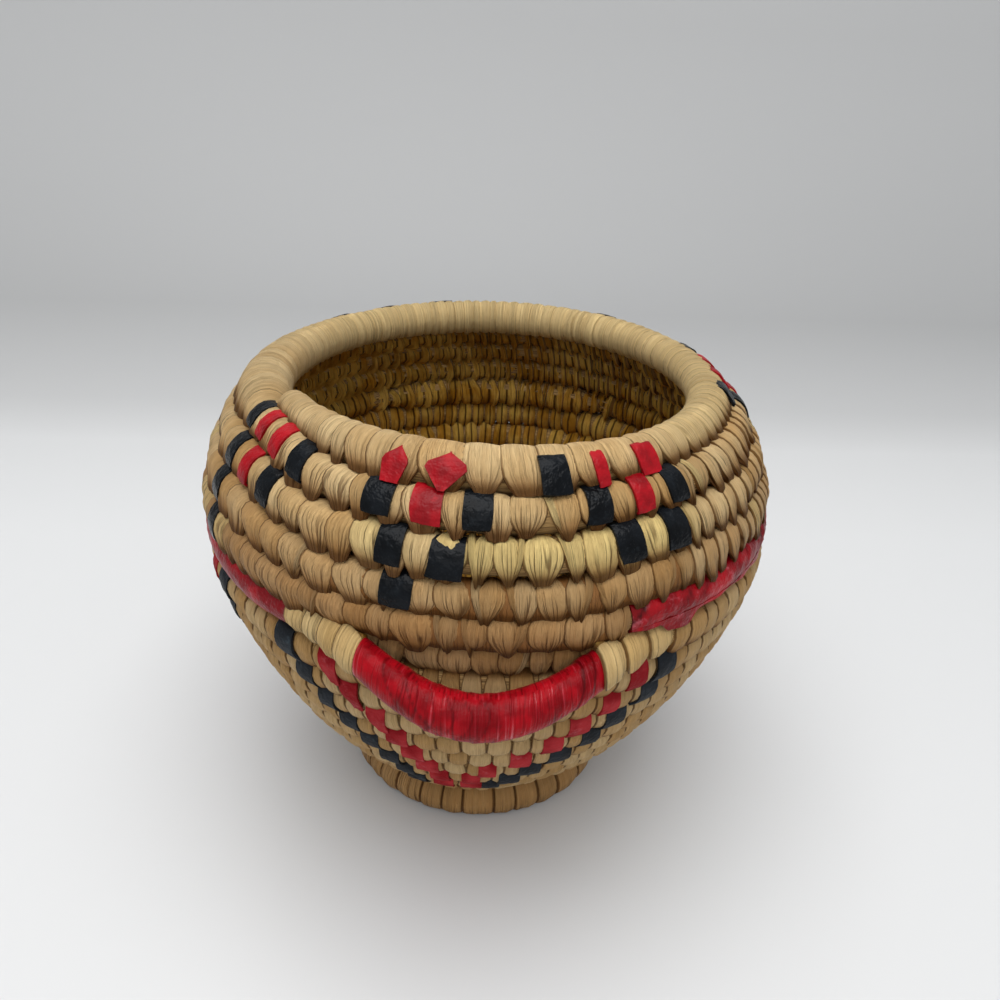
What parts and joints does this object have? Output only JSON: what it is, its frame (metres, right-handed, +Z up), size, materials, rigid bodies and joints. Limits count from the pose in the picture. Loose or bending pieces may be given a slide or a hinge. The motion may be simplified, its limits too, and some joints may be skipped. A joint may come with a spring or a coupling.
{
  "type": "coiled basket",
  "caption": "Open coiled grass basket with a rounded belly, in-turned mouth, foot ring and looped lug handles wrapped in red gut.",
  "frame": {"origin": "on the basket's axis, at the plane that the foot ring stands on", "axes": "+Z up out of the mouth, -Y towards the front handle, -X the way the coil climbs from the front"},
  "size_m": [0.1642, 0.1959, 0.1406],
  "materials": {
    "natural_grass": "dry grass splint, satin",
    "grass_bundle": "loose dry grass, matt",
    "red_gut": "dyed gut, semi-gloss",
    "black_gut": "dyed gut, semi-gloss"
  },
  "bodies": {
    "root": {"back_filler_coil": "natural_grass", "back_handle_bundle": "grass_bundle", "back_handle_end_binding": "natural_grass", "back_handle_gut_wrap": "red_gut", "back_handle_start_binding": "natural_grass", "back_patch_row4_1": "black_gut", "back_patch_row4_2": "black_gut", "back_patch_row4_3": "black_gut", "back_patch_row4_4": "black_gut", "base_coil": "natural_grass", "foot_ring_coil": "natural_grass", "front_filler_coil": "natural_grass", "front_handle_bundle": "grass_bundle", "front_handle_end_binding": "natural_grass", "front_handle_gut_wrap": "red_gut", "front_handle_start_binding": "natural_grass", "front_left_patch_row2_1": "black_gut", "front_left_patch_row3_1": "black_gut", "front_left_patch_row3_2": "black_gut", "front_left_patch_row4_1": "black_gut", "front_left_patch_row4_2": "red_gut", "front_left_patch_row4_3": "black_gut", "front_left_patch_row5_1": "red_gut", "front_left_patch_row5_2": "red_gut", "front_right_patch_row3_1": "black_gut", "front_right_patch_row3_2": "black_gut", "front_right_patch_row4_1": "black_gut", "front_right_patch_row4_2": "red_gut", "front_right_patch_row4_3": "black_gut", "front_right_patch_row5_1": "black_gut", "front_right_patch_row5_2": "red_gut", "front_right_patch_row5_3": "red_gut", "left_gut_sleeve": "red_gut", "left_patch_row1_1": "black_gut", "left_patch_row2_1": "black_gut", "left_patch_row3_1": "black_gut", "left_patch_row3_2": "red_gut", "left_patch_row3_3": "black_gut", "left_patch_row4_1": "black_gut", "left_patch_row4_2": "red_gut", "left_patch_row4_3": "red_gut", "left_patch_row4_4": "black_gut", "left_side_bundle": "grass_bundle", "lower_wall_coil": "natural_grass", "right_gut_sleeve": "red_gut", "right_patch_row3_1": "black_gut", "right_patch_row3_2": "red_gut", "right_patch_row3_3": "black_gut", "right_patch_row4_1": "black_gut", "right_patch_row4_2": "red_gut", "right_patch_row4_3": "red_gut", "right_patch_row4_4": "black_gut", "rim_coil": "natural_grass", "upper_wall_coil": "natural_grass"}
  },
  "joints": []
}
